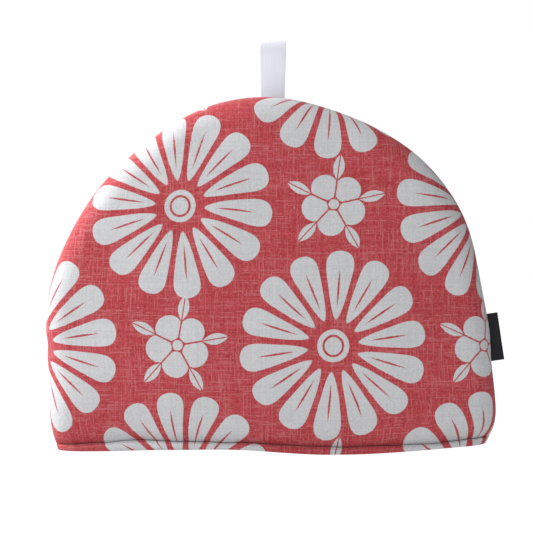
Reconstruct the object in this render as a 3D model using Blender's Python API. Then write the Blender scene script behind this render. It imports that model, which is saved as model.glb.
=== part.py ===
"""Padded tea cosy that stands open on its hem.

Two quilted cotton panels are cut as domes and sewn together round the curved edge. Each carries its own
stitched hem along the foot. A ribbon loop is caught in the seam at the top and a folded tab in the seam at
the right. Metres, +Z up, +X to the right as seen from the front, front panel towards -Y.
"""

import math

import bmesh
import bpy
import numpy as np
from mathutils import Vector
from mathutils.geometry import delaunay_2d_cdt

# Overall sizes
DOME_HEIGHT = 0.282
HALF_WIDTH = 0.179
LEG_HEIGHT = 0.057  # height up to which the plain dome's sides are upright
DOME_CENTRE_X = -0.0050  # the tab sticks out on the right, so the dome stands left of the box's middle
WIDTH_POWER = 1.8  # the dome above the legs is |x/a|^1.8 + |z/b|^2.6 = 1
HEIGHT_POWER = 2.6

# The padded wall
WALL = 0.009
EDGE_REACH = 0.018  # how far in from the outline the rounded edge runs
EDGE_DEPTH = 0.014
SEAM_SET_IN = 0.0026  # the seam lies this far inside the outline
INNER_SEAM_SET_IN = 0.0095
SEAM_GAP = 0.00015  # from the middle plane to each panel's seam face
CROWN = 0.033  # how far the middle of a panel stands forward of its rounded edge
CROWN_LOST_WITH_HEIGHT = 0.25

# The mesh that carries each panel
COLUMN_SPACING = 0.0105  # along the rounded edge
COLUMN_CLEAR = 0.0030  # a regular column this near to a pocket's own column is left out
LATTICE_SPACING = 0.0155  # on the open face
LATTICE_CLEAR = 0.0070  # from the lattice to the rounded edge
ROLL_STEPS = 6  # from the seam to the open face
ROLL_SAMPLES = 200
OUTLINE_SAMPLES = 900
SLIVER = 1e-9  # square metres, below which a triangle of the flat cut is a line
TINY = 1e-6
SHARP_EDGE = math.radians(50.0)
BELOW_FOOT = 0.020  # the outline is drawn on this far below the table, so that its normals hold at the foot

# Hem profile: height above the foot, and how far the outer and the inner face lie behind the panel's face
HEM_ROWS = (
    # height, outer, inner
    (0.0000, 0.0041, 0.0072),
    (0.0008, 0.0030, 0.0082),
    (0.0024, 0.0019, 0.0088),
    (0.0044, 0.0019, 0.0086),
    (0.0058, 0.0026, 0.0080),
    (0.0066, 0.0036, 0.0074),
    (0.0080, 0.0021, 0.0077),
    (0.0110, 0.0010, 0.0083),
    (0.0160, 0.0003, 0.0088),
    (0.0240, 0.0000, WALL),
)

# The outline's unevenness, by angle about the middle of the legs' top, counter-clockwise from +X
OUTLINE_PUSHES = (
    # degrees, spread in degrees, push outwards
    (-9.0, 6.0, +0.0014),
    (11.0, 4.0, +0.0008),
    (23.0, 9.0, -0.0042),
    (40.0, 6.0, +0.0014),
    (54.0, 8.0, +0.0022),
    (77.0, 6.0, -0.0008),
    (103.0, 9.0, +0.0022),
    (119.0, 9.0, -0.0028),
    (138.0, 7.0, -0.0010),
    (154.0, 5.0, +0.0006),
    (163.0, 10.0, +0.0026),
    (177.0, 7.0, -0.0016),
    (188.0, 7.0, -0.0020),
)
FOOT_DRAWN_IN = 0.0085
FOOT_DRAWN_BELOW = 0.036

# Where the hem's foot rises clear of the table
FRONT_HEM_LIFTS = (
    # x, reach, lift
    (+0.190, 0.110, 0.0058),
    (-0.070, 0.088, 0.0030),
)
BACK_HEM_LIFTS = (
    (+0.190, 0.110, 0.0058),
    (+0.010, 0.080, 0.0016),
)

# Soft dents in each panel: x, height, reach in x, reach in height, depth
FRONT_DENTS = (
    (+0.148, 0.122, 0.020, 0.024, 0.0030),
    (-0.106, 0.016, 0.016, 0.012, 0.0014),
    (-0.052, 0.256, 0.024, 0.016, 0.0016),
    (+0.058, 0.254, 0.018, 0.020, 0.0020),
    (+0.035, 0.018, 0.030, 0.012, 0.0010),
    (-0.132, 0.150, 0.026, 0.030, 0.0012),
    (+0.020, 0.140, 0.060, 0.050, 0.0016),
)
BACK_DENTS = (
    (-0.120, 0.098, 0.036, 0.030, 0.0022),
    (+0.086, 0.020, 0.024, 0.012, 0.0012),
    (+0.018, 0.248, 0.030, 0.018, 0.0018),
    (+0.050, 0.150, 0.070, 0.040, 0.0018),
)

# Ribbon loop
RIBBON_WIDTH = 0.0190
RIBBON_THICKNESS = 0.0010
RIBBON_CENTRE_X = 0.0018
RIBBON_STANDS = 0.0448  # above the dome
RIBBON_HALF_SPREAD = 0.0078
RIBBON_LEGS_STAND = 0.0020  # the legs stay together this far above the dome
RIBBON_STEPS = 24  # along each leg's bow
BOW_RISE_POWER = 1.15
BOW_HIGH_POWER = 1.25  # above 1, the bow is widest above its middle
BOW_FULL_POWER = 0.85  # below 1, the bow is full and not pointed
RIBBON_FLARE = 0.0011  # each edge leans out by this from the seam to the top
RIBBON_ACROSS_STEPS = 4

# Folded side tab
TAB_LOW = 0.0705
TAB_HIGH = 0.1085
TAB_STANDS = 0.0100
TAB_THICKNESS = 0.0010
TAB_TILT = math.radians(7.0)
TAB_FOLD_STEPS = 6

# What the ribbon and the tab need between the two seam faces
TUCKED_IN = 0.0080  # below the outline
LAYER_GAP = 0.0003
PIECE_GAP = 0.0003
RIBBON_POCKET = RIBBON_WIDTH / 2 + RIBBON_CENTRE_X + 0.0008  # half its length, about the dome's middle
TAB_POCKET = (TAB_HIGH - TAB_LOW) / 2 + 0.0020
TAB_MIDDLE = (TAB_LOW + TAB_HIGH) / 2
POCKET_FADE = 0.0050

MATERIALS = {
    "printed_cotton": ((0.456, 0.084, 0.089), 0.85),
    "ribbon": ((0.68, 0.70, 0.80), 0.45),
    "tab": ((0.012, 0.012, 0.014), 0.60),
}


def clear_scene():
    for obj in list(bpy.data.objects):
        bpy.data.objects.remove(obj, do_unlink=True)


def make_material(name):
    colour, roughness = MATERIALS[name]
    material = bpy.data.materials.new(name)
    material.use_nodes = True
    shader = material.node_tree.nodes["Principled BSDF"]
    shader.inputs["Base Color"].default_value = (*colour, 1.0)
    shader.inputs["Roughness"].default_value = roughness
    shader.inputs["Metallic"].default_value = 0.0
    material.diffuse_color = (*colour, 1.0)
    return material


def smooth_step(value):
    t = np.clip(value, 0.0, 1.0)
    return t * t * (3.0 - 2.0 * t)


def bell(value):
    return np.exp(-0.5 * value * value)


def dome_outline():
    """Points of the plain dome from the right foot over the top to the left foot, and their inward normals."""
    rise = DOME_HEIGHT - LEG_HEIGHT
    angle = np.linspace(0.0, math.pi / 2, OUTLINE_SAMPLES)
    arch_x = HALF_WIDTH * np.cos(angle) ** (2.0 / WIDTH_POWER)
    arch_z = LEG_HEIGHT + rise * np.sin(angle) ** (2.0 / HEIGHT_POWER)
    arch_x[-1] = 0.0
    leg_z = np.linspace(-BELOW_FOOT, LEG_HEIGHT, OUTLINE_SAMPLES // 3)[:-1]
    right_x = np.concatenate([np.full(len(leg_z), HALF_WIDTH), arch_x])
    right_z = np.concatenate([leg_z, arch_z])
    x = np.concatenate([right_x, -right_x[-2::-1]])
    z = np.concatenate([right_z, right_z[-2::-1]])
    along_x = np.gradient(x)
    along_z = np.gradient(z)
    length = np.hypot(along_x, along_z)
    return np.stack([x, z], 1), np.stack([-along_z / length, along_x / length], 1)


OUTLINE, OUTLINE_NORMALS = dome_outline()
OUTLINE_RUN = np.concatenate([[0.0], np.cumsum(np.linalg.norm(np.diff(OUTLINE, axis=0), axis=1))])


def edge_roll():
    """The rounded edge: its starting angle at the seam, and the cloth's run for each angle up to the face."""
    start = -math.acos(1.0 - SEAM_SET_IN / EDGE_REACH)
    angle = np.linspace(start, math.pi / 2, ROLL_SAMPLES)
    inwards = EDGE_REACH * (1.0 - np.cos(angle))
    forwards = EDGE_DEPTH * np.sin(angle)
    run = np.concatenate([[0.0], np.cumsum(np.hypot(np.diff(inwards), np.diff(forwards)))])
    return start, angle, run


ROLL_START, ROLL_ANGLES, ROLL_RUN = edge_roll()
ROLL_LENGTH = float(ROLL_RUN[-1])
FLAT_MARGIN = ROLL_LENGTH - EDGE_REACH  # the flat cut is this much larger than the outline
EDGE_CENTRE_Y = SEAM_GAP - EDGE_DEPTH * math.sin(ROLL_START)
FACE_Y = EDGE_CENTRE_Y + EDGE_DEPTH


def outline_at(run):
    """Outline points and inward normals at these runs along the outline."""
    place = np.stack([np.interp(run, OUTLINE_RUN, OUTLINE[:, i]) for i in (0, 1)], 1)
    normal = np.stack([np.interp(run, OUTLINE_RUN, OUTLINE_NORMALS[:, i]) for i in (0, 1)], 1)
    return place, normal / np.linalg.norm(normal, axis=1, keepdims=True)


def layer_pair(thickness):
    """Half the room that two layers need between the seam faces."""
    return thickness + LAYER_GAP / 2 + PIECE_GAP


def seam_opening(x, z):
    """Distance from the middle plane to the seam face, wider where the ribbon or the tab is caught."""
    ribbon = 1.0 - smooth_step((np.abs(x) - RIBBON_POCKET) / POCKET_FADE)
    tab = (1.0 - smooth_step((np.abs(z - TAB_MIDDLE) - TAB_POCKET) / POCKET_FADE)) * (x > 0)
    wide_ribbon = layer_pair(RIBBON_THICKNESS) - SEAM_GAP
    wide_tab = layer_pair(TAB_THICKNESS) - SEAM_GAP
    return SEAM_GAP + ribbon * wide_ribbon + tab * wide_tab


def inside_dome(x, z):
    """1 in the middle of the plain dome, 0 on its outline and less outside it."""
    above = np.clip((z - LEG_HEIGHT) / (DOME_HEIGHT - LEG_HEIGHT), 0.0, None)
    return 1.0 - np.abs(x / HALF_WIDTH) ** WIDTH_POWER - above**HEIGHT_POWER


def crown(x, z):
    """How far the panel's middle stands forward of the rounded edge."""
    inside = np.clip(inside_dome(x, z), 0.0, 1.0)
    return CROWN * inside * (1.0 - CROWN_LOST_WITH_HEIGHT * z / DOME_HEIGHT)


def outline_push(x, z):
    """Shift in x and in z that gives the plain dome its uneven outline."""
    rise = z - LEG_HEIGHT
    radius = np.hypot(x, rise)
    degrees = np.degrees(np.arctan2(rise, x))
    degrees = np.where(degrees < -90.0, degrees + 360.0, degrees)
    push = np.zeros_like(x)
    for at, spread, amount in OUTLINE_PUSHES:
        push = push + amount * bell((degrees - at) / spread)
    push = push * np.clip(radius / HALF_WIDTH, 0.0, 1.0) ** 2 / np.maximum(radius, TINY)
    below = np.clip(1.0 - z / FOOT_DRAWN_BELOW, 0.0, 1.0)
    drawn = FOOT_DRAWN_IN * below * below * x / HALF_WIDTH
    return push * x - drawn, push * np.clip(rise, 0.0, None)


def hem_lift(rows, x):
    """Height of the hem's foot above the table."""
    lift = np.zeros_like(x)
    for at, reach, amount in rows:
        lift = lift + amount * smooth_step(1.0 - np.abs(x - at) / reach)
    return lift


def dents(rows, x, z):
    total = np.zeros_like(x)
    for at_x, at_z, reach_x, reach_z, depth in rows:
        total = total + depth * bell((x - at_x) / reach_x) * bell((z - at_z) / reach_z)
    return total


def place_points(base, share, dent_rows, lift_rows, inner):
    """Puts points of one face of a panel in space.

    base holds the outline foot of each point and its inward normal, or the point itself on the open face,
    and share runs from 0 at the seam to 1 where the rounded edge meets the open face.
    """
    place, normal = base
    height = place[:, 1]
    table = np.array(HEM_ROWS)
    behind = np.interp(height, table[:, 0], table[:, 2 if inner else 1])
    gap = seam_opening(place[:, 0], height)
    if inner:
        angle = share * math.pi / 2
        set_in = EDGE_REACH - (EDGE_REACH - INNER_SEAM_SET_IN) * np.cos(angle)
        depth = gap + (FACE_Y - behind - gap) * np.sin(angle)
    else:
        angle = ROLL_START + share * (math.pi / 2 - ROLL_START)
        set_in = EDGE_REACH - (EDGE_REACH - behind) * np.cos(angle)
        front = EDGE_CENTRE_Y + (EDGE_DEPTH - behind) * np.sin(angle)
        under = EDGE_CENTRE_Y + (EDGE_CENTRE_Y - gap) * np.sin(angle) / -math.sin(ROLL_START)
        depth = np.where(angle >= 0, front, under)
    on_roll = share < 1.0
    x = place[:, 0] + np.where(on_roll, normal[:, 0] * set_in, 0.0)
    z = height + np.where(on_roll, normal[:, 1] * set_in, 0.0)
    weight = smooth_step(share)
    depth = depth + weight * (crown(x, z) - dents(dent_rows, x, z))
    push_x, push_z = outline_push(x, z)
    x = x + push_x
    z = z + push_z
    z = z + hem_lift(lift_rows, x) * (1.0 - smooth_step(z / LEG_HEIGHT))
    return np.stack([x + DOME_CENTRE_X, -depth, z], 1)


def column_runs():
    """Where the columns of the rounded edge stand, as runs along the outline."""
    foot = BELOW_FOOT
    whole = OUTLINE_RUN[-1]
    hem = [foot + row[0] for row in HEM_ROWS]
    last_hem = hem[-1]
    count = round((whole / 2 - last_hem) / COLUMN_SPACING)
    regular = list(np.linspace(last_hem, whole / 2, count + 1)[1:])
    pocket_edges = []
    for offset in (0.0, POCKET_FADE / 2, POCKET_FADE):
        pocket_edges.append(foot + TAB_MIDDLE - TAB_POCKET - offset)
        pocket_edges.append(foot + TAB_MIDDLE + TAB_POCKET + offset)
        pocket_edges.append(whole / 2 - RIBBON_POCKET - offset)
    kept = [run for run in regular if all(abs(run - edge) > COLUMN_CLEAR for edge in pocket_edges)]
    half = sorted(set(hem + kept + pocket_edges))
    mirrored = [whole - run for run in half]
    return np.array(sorted(set(half + mirrored)))


def open_lattice():
    """Staggered rows of points from the hem up, over the whole width."""
    row_height = LATTICE_SPACING * math.sqrt(3) / 2
    reach = math.ceil(HALF_WIDTH / LATTICE_SPACING)
    points = []
    for row in range(1, int(DOME_HEIGHT / row_height)):
        offset = LATTICE_SPACING / 2 * (row % 2)
        height = HEM_ROWS[-1][0] + row * row_height
        points += [(column * LATTICE_SPACING + offset, height) for column in range(-reach, reach + 1)]
    return np.array(points)


def flat_area(corners):
    (ax, az), (bx, bz), (cx, cz) = corners
    return abs((bx - ax) * (cz - az) - (cx - ax) * (bz - az)) / 2


def panel_layout():
    """The flat cut's points with what place_points needs for each, and its triangles and border."""
    runs = column_runs()
    foot, normal = outline_at(runs)
    cloth_run = np.linspace(0.0, ROLL_LENGTH, ROLL_STEPS + 1)
    flat, place, inward, share = [], [], [], []
    for step in range(ROLL_STEPS + 1):
        flat.append(foot + normal * (cloth_run[step] - FLAT_MARGIN))
        on_face = step == ROLL_STEPS
        place.append(foot + normal * EDGE_REACH if on_face else foot)
        inward.append(normal)
        part = (np.interp(cloth_run[step], ROLL_RUN, ROLL_ANGLES) - ROLL_START) / (math.pi / 2 - ROLL_START)
        share.append(np.full(len(runs), part))
    reach = HALF_WIDTH - EDGE_REACH
    across = np.linspace(-reach, reach, round(2 * reach / LATTICE_SPACING) + 1)[1:-1]
    hem_points = np.array([(x, row[0]) for row in HEM_ROWS for x in across])
    lattice = open_lattice()
    nearest = np.linalg.norm(lattice[:, None, :] - OUTLINE[None, :, :], axis=2).min(1)
    lattice = lattice[(inside_dome(*lattice.T) > 0.0) & (nearest > EDGE_REACH + LATTICE_CLEAR)]
    open_face = np.concatenate([hem_points, lattice])
    flat.append(open_face)
    place.append(open_face)
    inward.append(np.zeros_like(open_face))
    share.append(np.ones(len(open_face)))
    flat = np.concatenate(flat)
    _, _, triangles, source, _, _ = delaunay_2d_cdt([Vector(p) for p in flat], [], [], 0, TINY / 10)
    order = [ids[0] for ids in source]
    triangles = [[order[i] for i in triangle] for triangle in triangles]
    triangles = [triangle for triangle in triangles if flat_area(flat[triangle]) > SLIVER]
    layout = (np.concatenate(place), np.concatenate(inward), np.concatenate(share))
    return layout, triangles


def border_of(triangles):
    """The edges that only one triangle has, as that triangle runs them."""
    edges = {}
    for triangle in triangles:
        for i in range(3):
            edges[(triangle[i], triangle[(i + 1) % 3])] = True
    return [edge for edge in edges if (edge[1], edge[0]) not in edges]


def finish_object(name, bm, material):
    bmesh.ops.recalc_face_normals(bm, faces=bm.faces)
    mesh = bpy.data.meshes.new(name)
    bm.to_mesh(mesh)
    bm.free()
    mesh.shade_smooth()
    mesh.set_sharp_from_angle(angle=SHARP_EDGE)
    obj = bpy.data.objects.new(name, mesh)
    obj.data.materials.append(material)
    bpy.context.scene.collection.objects.link(obj)
    return obj


def make_panel(name, dent_rows, lift_rows, to_back, material):
    """One padded panel: outer face, inner face, seam face round the dome and flat foot under the hem."""
    (place, inward, share), triangles = panel_layout()
    outer = place_points((place, inward), share, dent_rows, lift_rows, inner=False)
    inner = place_points((place, inward), share, dent_rows, lift_rows, inner=True)
    if to_back:
        outer[:, 1] *= -1
        inner[:, 1] *= -1
    bm = bmesh.new()
    outer_verts = [bm.verts.new(p) for p in outer]
    inner_verts = [bm.verts.new(p) for p in inner]
    for a, b, c in triangles:
        bm.faces.new((outer_verts[a], outer_verts[b], outer_verts[c]))
        bm.faces.new((inner_verts[c], inner_verts[b], inner_verts[a]))
    for a, b in border_of(triangles):
        bm.faces.new((outer_verts[b], outer_verts[a], inner_verts[a], inner_verts[b]))
    return finish_object(name, bm, material)


def strip_solid(name, middle_line, half_widths, thickness, across, material, steps):
    """A band of even thickness along a flat middle line, with its width along the direction across."""
    line = [Vector(p) for p in middle_line]
    bm = bmesh.new()
    rows = []
    for i, point in enumerate(line):
        ahead = line[min(i + 1, len(line) - 1)]
        behind = line[max(i - 1, 0)]
        out = (ahead - behind).normalized().cross(across).normalized() * (thickness / 2)
        ring = []
        for side in (1, -1):
            for step in range(steps + 1):
                share = (2.0 * step / steps - 1.0) * side
                ring.append(bm.verts.new(point + across * (half_widths[i] * share) + out * side))
        rows.append(ring)
    count = len(rows[0])
    for first, second in zip(rows, rows[1:]):
        for k in range(count):
            bm.faces.new((first[k], first[(k + 1) % count], second[(k + 1) % count], second[k]))
    bm.faces.new(rows[0])
    bm.faces.new(rows[-1])
    return finish_object(name, bm, material)


def ribbon_line():
    """The loop's middle line in the upright plane, up one leg, over the top and down the other."""
    layer = (RIBBON_THICKNESS + LAYER_GAP) / 2
    top = DOME_HEIGHT + RIBBON_STANDS - RIBBON_THICKNESS / 2
    leg_top = DOME_HEIGHT + RIBBON_LEGS_STAND
    leg = [(layer, DOME_HEIGHT - TUCKED_IN), (layer, DOME_HEIGHT - TUCKED_IN / 2)]
    for step in range(RIBBON_STEPS):
        t = step / RIBBON_STEPS
        rise = leg_top + (top - leg_top) * math.sin(t * math.pi / 2) ** BOW_RISE_POWER
        spread = RIBBON_HALF_SPREAD * math.sin(math.pi * t**BOW_HIGH_POWER) ** BOW_FULL_POWER
        leg.append((max(layer * (1.0 - t), spread), rise))
    other_leg = [(-y, z) for y, z in reversed(leg)]
    return [*leg, (0.0, top), *other_leg]


def make_ribbon(material):
    centre_x = DOME_CENTRE_X + RIBBON_CENTRE_X
    line = [(centre_x, y, z) for y, z in ribbon_line()]
    base = DOME_HEIGHT - TUCKED_IN
    top = DOME_HEIGHT + RIBBON_STANDS
    widths = [RIBBON_WIDTH / 2 + RIBBON_FLARE * (z - base) / (top - base) for _, _, z in line]
    return strip_solid(
        "hanging_loop", line, widths, RIBBON_THICKNESS, Vector((1, 0, 0)), material, RIBBON_ACROSS_STEPS
    )


def make_tab(material):
    """The folded tab: two layers side by side in the seam, joined by the fold at their outer end."""
    layer = (TAB_THICKNESS + LAYER_GAP) / 2
    push_x, _ = outline_push(np.array([HALF_WIDTH]), np.array([TAB_MIDDLE]))
    edge_x = HALF_WIDTH + float(push_x[0])
    outwards = Vector((math.cos(TAB_TILT), 0.0, math.sin(TAB_TILT)))
    along = Vector((-math.sin(TAB_TILT), 0.0, math.cos(TAB_TILT)))
    root = Vector((DOME_CENTRE_X + edge_x, 0.0, TAB_MIDDLE))
    reach = TAB_STANDS - TAB_THICKNESS / 2 - layer
    stops = (-TUCKED_IN, -TUCKED_IN / 2, 0.0, reach / 2, reach)
    half = [root + outwards * s + Vector((0.0, -layer, 0.0)) for s in stops]
    fold = []
    for step in range(1, TAB_FOLD_STEPS):
        angle = math.pi * step / TAB_FOLD_STEPS
        turn = Vector((0.0, -layer * math.cos(angle), 0.0))
        fold.append(root + outwards * (reach + layer * math.sin(angle)) + turn)
    back = [Vector((p.x, -p.y, p.z)) for p in reversed(half)]
    line = [*half, *fold, *back]
    widths = [(TAB_HIGH - TAB_LOW) / 2] * len(line)
    return strip_solid("side_tab", line, widths, TAB_THICKNESS, along, material, 2)


def main():
    clear_scene()
    cotton = make_material("printed_cotton")
    make_panel("front_panel", FRONT_DENTS, FRONT_HEM_LIFTS, False, cotton)
    make_panel("back_panel", BACK_DENTS, BACK_HEM_LIFTS, True, cotton)
    make_ribbon(make_material("ribbon"))
    make_tab(make_material("tab"))


main()
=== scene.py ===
"""Looks of a tea cosy that stands on its hem.

Two padded panels of slubby printed cotton, a ribbon loop caught in the seam at the top and a folded tab in
the seam at the right. Metres, +Z up, +X to the right as seen from the front, front panel towards -Y.
"""

from collections import namedtuple
from math import acos, atan, ceil, cos, pi, radians, sin, sqrt, tan, tau

import bpy
import numpy as np
from bpy.props import FloatProperty, FloatVectorProperty, IntProperty, PointerProperty
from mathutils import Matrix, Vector
from mathutils.geometry import delaunay_2d_cdt
from mathutils.kdtree import KDTree


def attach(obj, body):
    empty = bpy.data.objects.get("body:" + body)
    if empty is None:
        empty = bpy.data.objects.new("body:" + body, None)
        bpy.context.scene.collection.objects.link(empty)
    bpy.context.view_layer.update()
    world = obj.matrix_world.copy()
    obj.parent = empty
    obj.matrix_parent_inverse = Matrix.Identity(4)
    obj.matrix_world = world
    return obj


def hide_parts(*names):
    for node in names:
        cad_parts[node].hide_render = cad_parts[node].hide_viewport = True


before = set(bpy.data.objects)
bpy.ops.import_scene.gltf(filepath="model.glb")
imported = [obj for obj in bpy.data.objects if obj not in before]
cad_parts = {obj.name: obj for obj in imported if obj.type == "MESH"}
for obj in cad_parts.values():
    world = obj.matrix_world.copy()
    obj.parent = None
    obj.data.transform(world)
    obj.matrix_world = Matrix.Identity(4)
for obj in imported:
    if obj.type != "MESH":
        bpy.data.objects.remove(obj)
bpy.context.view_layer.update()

bl_info = {
    "name": "Tea Cosy",
    "version": (1, 0, 0),
    "blender": (4, 5, 0),
    "location": "3D View > Sidebar > Tea Cosy",
    "description": "Builds a padded tea cosy with a floral print, a ribbon loop and a side tab",
    "category": "Add Mesh",
}

BODY = "root"
PLAN = "cloth_plan"  # UV map that holds the flat cut in metres

# The plain dome and its place
DOME_CENTRE_X = -0.0050
WIDTH_POWER = 1.8  # the dome above the legs is |x/a|^1.8 + |z/b|^2.6 = 1
HEIGHT_POWER = 2.6
CROWN_LOST_WITH_HEIGHT = 0.25
OUTLINE_SAMPLES = 900
BELOW_FOOT = 0.020

# The rounded edge and the seam
EDGE_REACH = 0.018
EDGE_DEPTH = 0.014
SEAM_SET_IN = 0.0026
INNER_SEAM_SET_IN = 0.0095
SEAM_GAP = 0.00002
ROLL_SAMPLES = 200

# The mesh of each panel
COLUMN_SPACING = 0.0030
LATTICE_SPACING = 0.0031
LATTICE_CLEAR = 0.0016
ROLL_STEPS = 12
SLIVER = 1e-10
TINY = 1e-6
SHARP_EDGE = radians(50.0)

# The hem: a narrow strip under a sunken line of stitching
HEM_LINE = 0.0060  # usual height of the sunken line
HEM_TOP = 0.0240  # the panel is as full as elsewhere from here up
HEM_HEIGHTS = (
    0.0, 0.0004, 0.0010, 0.0017, 0.0025, 0.0033, 0.0041, 0.0047, 0.0052, 0.0056, 0.0058, 0.0060,
    0.0062, 0.0065, 0.0070, 0.0077, 0.0086, 0.0098, 0.0112, 0.0130, 0.0155, 0.0190, 0.0240,
)
STRIP_SET_BACK = -0.0008  # at its foot
STRIP_LEAN = 0.0014  # how much further back its top stands
STRIP_SHOULDER = 0.0030  # height over which the strip rounds in to the line
LINE_DEPTH = 0.0077
PANEL_SHOULDER = 0.0150  # height over which the panel rounds in to the line
FOOT_ROUND = 0.0016
INNER_FOOT_ROUND = 0.0018
INNER_LINE_DEPTH = 0.0003
INNER_LINE_REACH = 0.0022
KEPT_AT_SEAM = 0.05  # share of the hem's relief left where the panel meets the seam

# The outline's unevenness, by angle about the middle of the legs' top, counter-clockwise from +X
OUTLINE_PUSHES = (
    # degrees, spread in degrees, push outwards
    (-14.5, 3.5, 0.0024), (-9.0, 6.0, 0.0014), (5.5, 4.0, -0.0015), (23.0, 9.0, -0.0042),
    (40.0, 6.0, 0.0014), (54.0, 8.0, 0.0022), (77.0, 6.0, -0.0008), (103.0, 9.0, 0.0022),
    (119.0, 9.0, -0.0028), (138.0, 7.0, -0.0010), (154.0, 5.0, 0.0006), (163.0, 10.0, 0.0026),
    (177.0, 7.0, -0.0016), (188.0, 7.0, -0.0020),
)
FOOT_DRAWN_IN = 0.0085
FOOT_DRAWN_BELOW = 0.036

# Where the hem's foot rises clear of the table
FRONT_HEM_LIFTS = (
    # x, reach, lift
    (0.190, 0.128, 0.0058), (0.186, 0.024, 0.0022), (-0.070, 0.088, 0.0030), (-0.014, 0.064, 0.0026),
)
BACK_HEM_LIFTS = (
    (0.190, 0.128, 0.0058), (0.186, 0.024, 0.0022), (0.010, 0.080, 0.0016),
)

# Height of the sunken line above the hem's foot
FRONT_HEM_LINE = (
    # x, height
    (-0.170, 0.0050), (-0.138, 0.0064), (-0.108, 0.0080), (-0.066, 0.0061), (-0.048, 0.0058),
    (-0.033, 0.0049), (-0.018, 0.0056), (0.048, 0.0058), (0.064, 0.0051), (0.078, 0.0058),
    (0.110, 0.0050), (0.138, 0.0042), (0.166, 0.0056),
)
BACK_HEM_LINE = (
    (-0.160, 0.0060), (-0.110, 0.0055), (-0.060, 0.0067), (-0.020, 0.0060),
    (0.030, 0.0054), (0.085, 0.0070), (0.130, 0.0062), (0.170, 0.0058),
)

# Soft dents in each panel: x, height, reach in x, reach in height, depth
FRONT_DENTS = (
    (0.148, 0.122, 0.020, 0.024, 0.0030), (-0.106, 0.016, 0.016, 0.012, 0.0014),
    (-0.052, 0.256, 0.024, 0.016, 0.0016), (0.058, 0.254, 0.018, 0.020, 0.0020),
    (0.035, 0.018, 0.030, 0.012, 0.0010), (-0.132, 0.150, 0.026, 0.030, 0.0012),
    (0.020, 0.140, 0.060, 0.050, 0.0016),
)
BACK_DENTS = (
    (-0.120, 0.098, 0.036, 0.030, 0.0022), (0.086, 0.020, 0.024, 0.012, 0.0012),
    (0.018, 0.248, 0.030, 0.018, 0.0018), (0.050, 0.150, 0.070, 0.040, 0.0018),
)

# Fine unevenness of the padding and of the sewing
SWELL_WAVES = 14
SWELL_LENGTHS = (0.034, 0.085)
SWELL_HEIGHT = 0.00016  # of each wave
RELIEF_FADE = 0.0060  # in from the seam, over which puckers and tucks set in
PUCKERS = 72  # round the seam
PUCKER_WIDTHS = (0.0025, 0.0070)
PUCKER_HEIGHT = 0.00055
PUCKER_REACH = 0.0110  # in from the seam
TUCKS = 46  # along the hem's line
TUCK_WIDTHS = (0.0016, 0.0050)
TUCK_HEIGHT = 0.00045
TUCK_REACH = 0.0060  # up and down from the line
TUCK_FADE = 0.0030  # up from the foot

# Ribbon loop
RIBBON_CENTRE_X = 0.0023
RIBBON_LEGS_STAND = 0.0020  # the legs stay together this far above the dome
RIBBON_LEG_STEPS = 26  # from the dome to the widest place
RIBBON_TOP_STEPS = 22  # from there to the top
SPLAY_ROUNDS = 30  # until the legs' slope meets the round top's
RIBBON_ACROSS_STEPS = 28
RIBBON_LEAN = 0.0034  # how far back the loop's top leans
LEG_CURVE = 1.4  # 1 would be straight legs
RIBBON_FLARE = 0.0010
RIBBON_CUP = 0.00030

# Folded side tab
TAB_TILT = radians(8.4)
TAB_FOLD_STEPS = 10
TAB_STRAIGHT_STEPS = 14
TAB_ACROSS_STEPS = 30

# What the ribbon and the tab need between the two seam faces
TUCKED_IN = 0.0040
LAYER_GAP = 0.0003
PIECE_GAP = 0.0001
POCKET_FADE = 0.0034
RIBBON_CLEAR = 0.0008  # beside the ribbon
TAB_CLEAR = 0.0010  # above and below the tab

# The threads of the printed cotton
WARP_PITCH, WEFT_PITCH = 0.85, 1.1  # from thread to thread, as shares of the cotton's thread size
THREAD_WANDER = 1.4  # how far a thread strays, as a share of the same
WARP_SEED, WEFT_SEED = 5.0, 31.0
THREAD_TONES = (
    # change from thread to thread, changes per metre along it, share of the tone
    (2.93, 18.0, 0.36), (3.71, 120.0, 0.12), (5.11, 640.0, 0.52),
)
SLUB_PATCHES = (
    # change from thread to thread, changes per metre along it, noise where it starts and where it is full
    (5.37, 44.0, 0.57, 0.76), (4.57, 210.0, 0.25, 0.60),
)
TONE_CONTRAST = 3.0
CLOUDS = 0.25  # how much broad clouds change the tone
SLUB_PALENESS = 0.55
INK_EDGE = 0.00022  # half the width over which the print's edge fades

# The stage
FLOOR_HALF = 14.0
SEEN_FLOOR_Z = -0.0002
LIT_FLOOR_Z = -0.0004
WHITE = (1.0, 1.0, 1.0)
WHITE_GLOW = 1.0
NARROWED = (0.35, 1.0, 1.0)  # stretches the painted shadow in the floor's glow along the cosy
GLOW_NEAR, GLOW_FAR = 0.055, 0.110  # where the floor's glow starts to rise out of its painted shadow round the foot and where it is full
WALL_TOP, CEILING = 0.12, 0.45  # heights in the sky, where straight up is 1
LIGHTS_AIM = (0.0, 0.0, 0.13)
LIGHTS = (
    # name, place, size, property that holds the power
    ("front_light", (0.36, -1.25, 1.45), 1.0, "front_power"),
    ("side_light", (-0.75, 0.22, 1.15), 0.7, "side_power"),
    ("shoulder_light", (-1.00, 0.28, 0.82), 0.5, "shoulder_power"),
    ("low_light", (-1.30, 0.16, 0.15), 0.4, "low_power"),
)
BOARD_X, BOARD_FRONT, BOARD_BACK, BOARD_TOP = 0.38, -0.44, 0.90, 1.10

# How one side differs from the other
Side = namedtuple("Side", "name node towards dents lifts hem_line cut_from seed")
SIDES = (
    Side("front_panel_cloth", "front_panel", -1, FRONT_DENTS, FRONT_HEM_LIFTS, FRONT_HEM_LINE, (0.0, 0.0), 3),
    Side("back_panel_cloth", "back_panel", 1, BACK_DENTS, BACK_HEM_LIFTS, BACK_HEM_LINE, (0.061, 0.034), 8),
)


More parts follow.
